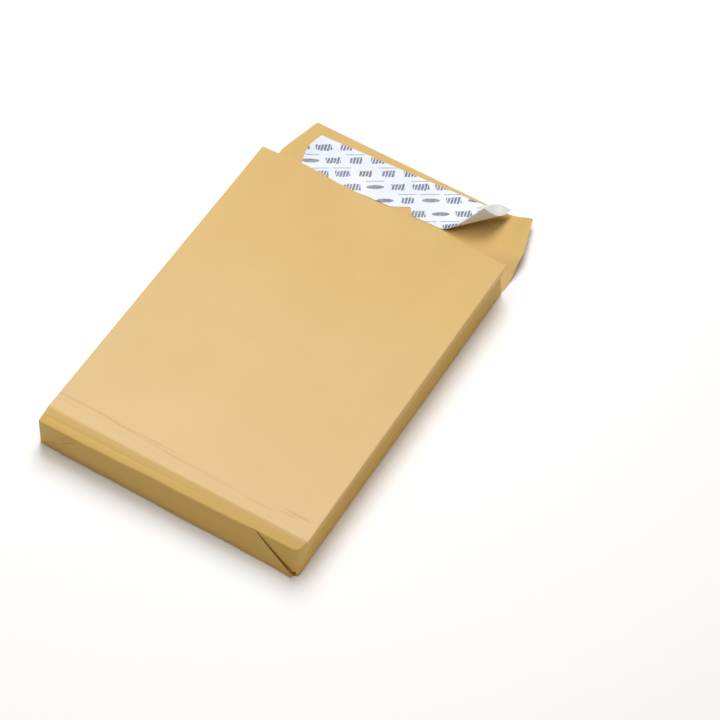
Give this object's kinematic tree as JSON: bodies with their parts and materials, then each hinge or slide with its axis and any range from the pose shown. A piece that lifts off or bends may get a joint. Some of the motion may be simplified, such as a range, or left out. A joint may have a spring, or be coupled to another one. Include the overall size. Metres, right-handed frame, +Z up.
{
  "type": "paper envelope",
  "caption": "Expanding kraft paper envelope with side gussets, a block bottom and an open peel-and-seal flap with its release liner partly lifted.",
  "frame": {"origin": "centre of the front panel's underside, which lies on the table", "axes": "+X across the envelope to the peeled end of the liner, +Y from the block bottom to the flap, +Z up through the gussets' depth"},
  "size_m": [0.25, 0.4389, 0.043],
  "materials": {
    "kraft_paper": "matt machine-glazed kraft",
    "adhesive": "clear tacky film",
    "liner_paper": null
  },
  "bodies": {
    "root": {"envelope": "kraft_paper", "adhesive_strip": "adhesive", "release_liner": "liner_paper"}
  },
  "joints": []
}
